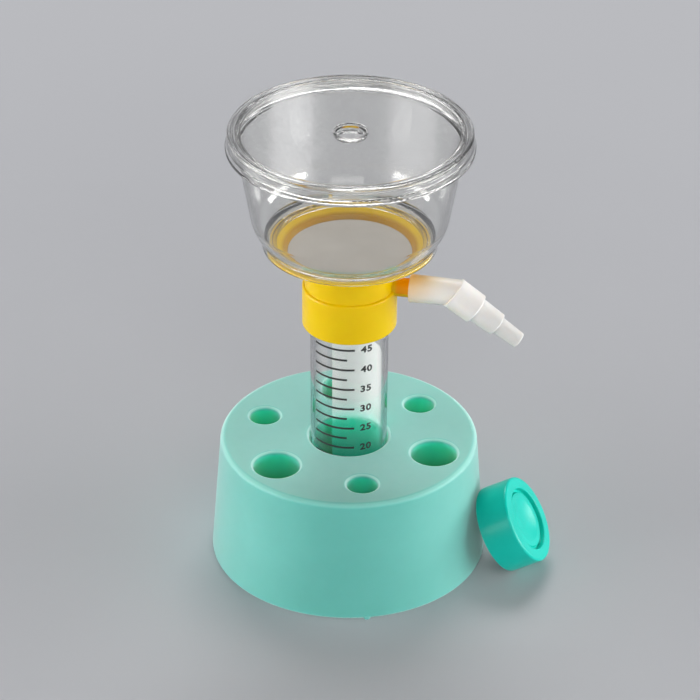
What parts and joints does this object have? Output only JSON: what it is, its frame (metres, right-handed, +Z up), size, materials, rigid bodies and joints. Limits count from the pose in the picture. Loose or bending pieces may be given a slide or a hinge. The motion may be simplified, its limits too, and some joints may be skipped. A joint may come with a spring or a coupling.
{
  "type": "vacuum filtration unit",
  "caption": "Clear filter cup with a lid over a screw-on adapter and side-arm hose connector, on a conical tube that stands in a round socketed stand, with the tube's cap beside it.",
  "frame": {"origin": "centre of the stand's flat bottom, on the tube's axis", "axes": "+Z up along the axis of tube, adapter, cup and lid; +X to the side where the hose connector and the leaning cap are; -Y to the side where the tube's scale is read"},
  "size_m": [0.1312, 0.1062, 0.1814],
  "materials": {
    "stand": "satin, soft and slightly translucent",
    "tube": "clear, polished",
    "cap": "satin",
    "adapter": "gloss, slightly translucent",
    "gasket": "matt",
    "membrane": "matt, finely porous",
    "cup": "clear, polished",
    "lid": "clear, polished",
    "connector": "satin, milky"
  },
  "bodies": {
    "stand": {"stand": "stand", "tube": "tube", "tube_cap": "cap"},
    "gasket": {"gasket": "gasket"},
    "head": {"adapter": "adapter", "membrane": "membrane", "cup": "cup"},
    "lid": {"lid": "lid"},
    "hose_connector": {"hose_connector": "connector"}
  },
  "joints": [
    {"name": "head_lift", "type": "slide", "parent": "stand", "child": "gasket", "axis": [0, 0, 1], "range_m": [0, 0.0061]},
    {"name": "head_turn", "type": "hinge", "parent": "gasket", "child": "head", "pos_m": [0, 0, 0.1151], "axis": [0, 0, 1], "range_deg": [0, 540]},
    {"name": "lid_lift", "type": "slide", "parent": "head", "child": "lid", "axis": [0, 0, 1], "range_m": [0, 0.03]},
    {"name": "hose_turn", "type": "hinge", "parent": "head", "child": "hose_connector", "pos_m": [0.02754, -0.00505, 0.1172], "axis": [0.9836, -0.1805, 0], "continuous": true}
  ],
  "couplings": [
    {"joint": "head_lift", "follows": "head_turn", "m_per_rad": 0.00063662}
  ]
}
